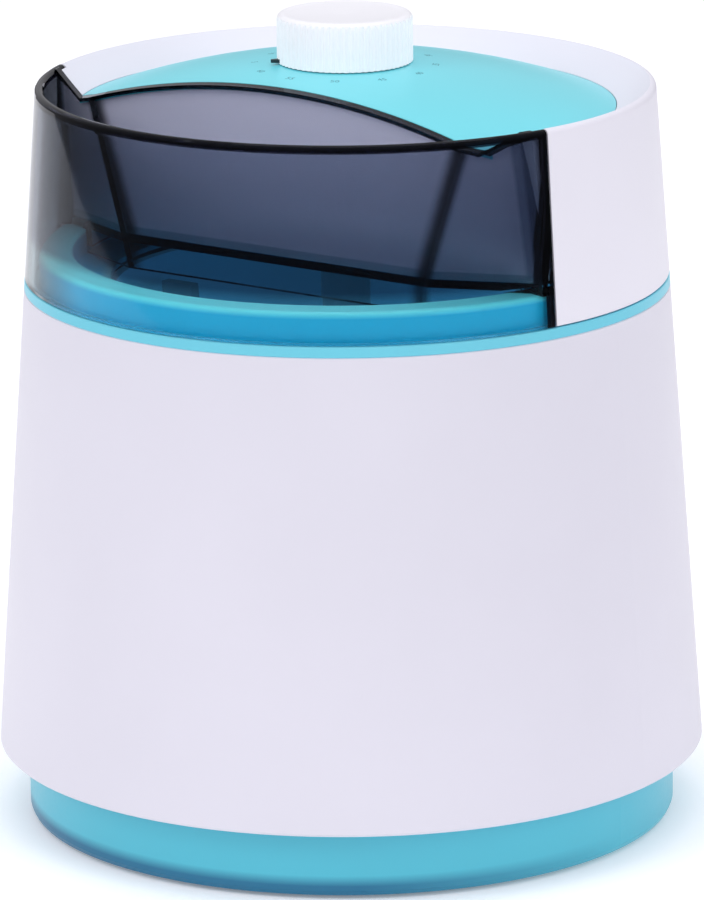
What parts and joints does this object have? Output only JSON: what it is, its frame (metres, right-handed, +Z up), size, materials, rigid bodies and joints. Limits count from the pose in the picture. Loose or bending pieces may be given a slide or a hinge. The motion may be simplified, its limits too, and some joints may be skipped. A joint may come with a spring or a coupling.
{
  "type": "ice cream maker",
  "caption": "Round countertop ice cream maker with a lift-out freezer bowl, turning paddle, smoked pouring lid and a motor unit with a timer knob.",
  "frame": {"origin": "centre of the round base on the plane that the feet stand on", "axes": "+Z up along the axis of the drum, the paddle and the knob; -Y towards the pouring hopper"},
  "size_m": [0.2298, 0.2298, 0.2631],
  "materials": {
    "teal_plastic": "satin moulded plastic",
    "panel_teal": "glossy moulded plastic",
    "white_plastic": "semi-gloss moulded plastic",
    "grey_plastic": "fine moulded texture",
    "foot_rubber": "matte",
    "screw_steel": "zinc plated",
    "bowl_plastic": "satin",
    "liner_metal": "spun and anodised",
    "coolant": "gel",
    "paddle_plastic": "satin slate-grey food-safe plastic",
    "smoked_plastic": "clear smoked plastic, polished",
    "bush_plastic": "acetal",
    "gearbox_metal": "plated sheet and cast metal",
    "bearing_bronze": "sintered bronze",
    "shaft_steel": "ground steel",
    "coil_copper": "enamelled copper windings",
    "magnet": "ferrite",
    "timer_case": "phenolic moulding",
    "terminal_plastic": "nylon",
    "wire_sleeve": "soft sleeve",
    "knob_white": "semi-gloss, ribbed grip"
  },
  "bodies": {
    "housing": {"base_pan": "teal_plastic", "rubber_feet": "foot_rubber", "drum_shell": "white_plastic", "bowl_cradle": "grey_plastic", "base_screws": "screw_steel", "cradle_screws": "screw_steel"},
    "freezer_bowl": {"bowl_shell": "bowl_plastic", "bowl_liner": "liner_metal", "bowl_collar": "teal_plastic", "coolant_gel": "coolant", "bowl_seal": "foot_rubber", "fill_plug": "foot_rubber"},
    "paddle": {"paddle": "paddle_plastic"},
    "lid": {"smoked_lid": "smoked_plastic", "lid_bush": "bush_plastic"},
    "motor_unit": {"motor_housing": "white_plastic", "control_panel": "panel_teal", "motor_plate": "grey_plastic", "plate_screws": "screw_steel", "gearbox_case": "gearbox_metal", "gearbox_cover": "gearbox_metal", "gearbox_screws": "screw_steel", "shaft_bearing": "bearing_bronze", "idler_pin": "shaft_steel", "motor_can": "gearbox_metal", "stator_coil": "coil_copper", "rotor_bearings": "bearing_bronze", "timer_body": "timer_case", "timer_nut": "screw_steel", "terminal_block": "terminal_plastic", "mains_wires": "wire_sleeve", "cord_gland": "grey_plastic"},
    "output_drive": {"output_gear": "bush_plastic", "output_shaft": "shaft_steel"},
    "idler": {"idler_gear": "bush_plastic"},
    "rotor": {"rotor_magnet": "magnet", "rotor_shaft": "shaft_steel"},
    "timer": {"timer_knob": "knob_white", "timer_spindle": "shaft_steel"}
  },
  "joints": [
    {"name": "bowl_lift", "type": "slide", "parent": "housing", "child": "freezer_bowl", "axis": [0, 0, 1], "range_m": [0, 0.2]},
    {"name": "paddle_spin", "type": "hinge", "parent": "freezer_bowl", "child": "paddle", "pos_m": [0, 0, 0.2], "axis": [0, 0, 1], "continuous": true},
    {"name": "lid_lift", "type": "slide", "parent": "freezer_bowl", "child": "lid", "axis": [0, 0, 1], "range_m": [0, 0.08]},
    {"name": "motor_lift", "type": "slide", "parent": "lid", "child": "motor_unit", "axis": [0, 0, 1], "range_m": [0, 0.08]},
    {"name": "output_spin", "type": "hinge", "parent": "motor_unit", "child": "output_drive", "pos_m": [0, 0, 0.2], "axis": [0, 0, 1], "continuous": true},
    {"name": "idler_spin", "type": "hinge", "parent": "motor_unit", "child": "idler", "pos_m": [0, 0.02025, 0.2], "axis": [0, 0, 1], "continuous": true},
    {"name": "rotor_spin", "type": "hinge", "parent": "motor_unit", "child": "rotor", "pos_m": [0, 0, 0.2], "axis": [0, 0, 1], "continuous": true},
    {"name": "timer_turn", "type": "hinge", "parent": "motor_unit", "child": "timer", "pos_m": [0, 0, 0.25], "axis": [0, 0, 1], "range_deg": [-300, 0]}
  ],
  "couplings": [
    {"joint": "output_spin", "follows": "paddle_spin", "ratio": 1},
    {"joint": "idler_spin", "follows": "paddle_spin", "ratio": -3.5},
    {"joint": "rotor_spin", "follows": "paddle_spin", "ratio": 12.25}
  ]
}
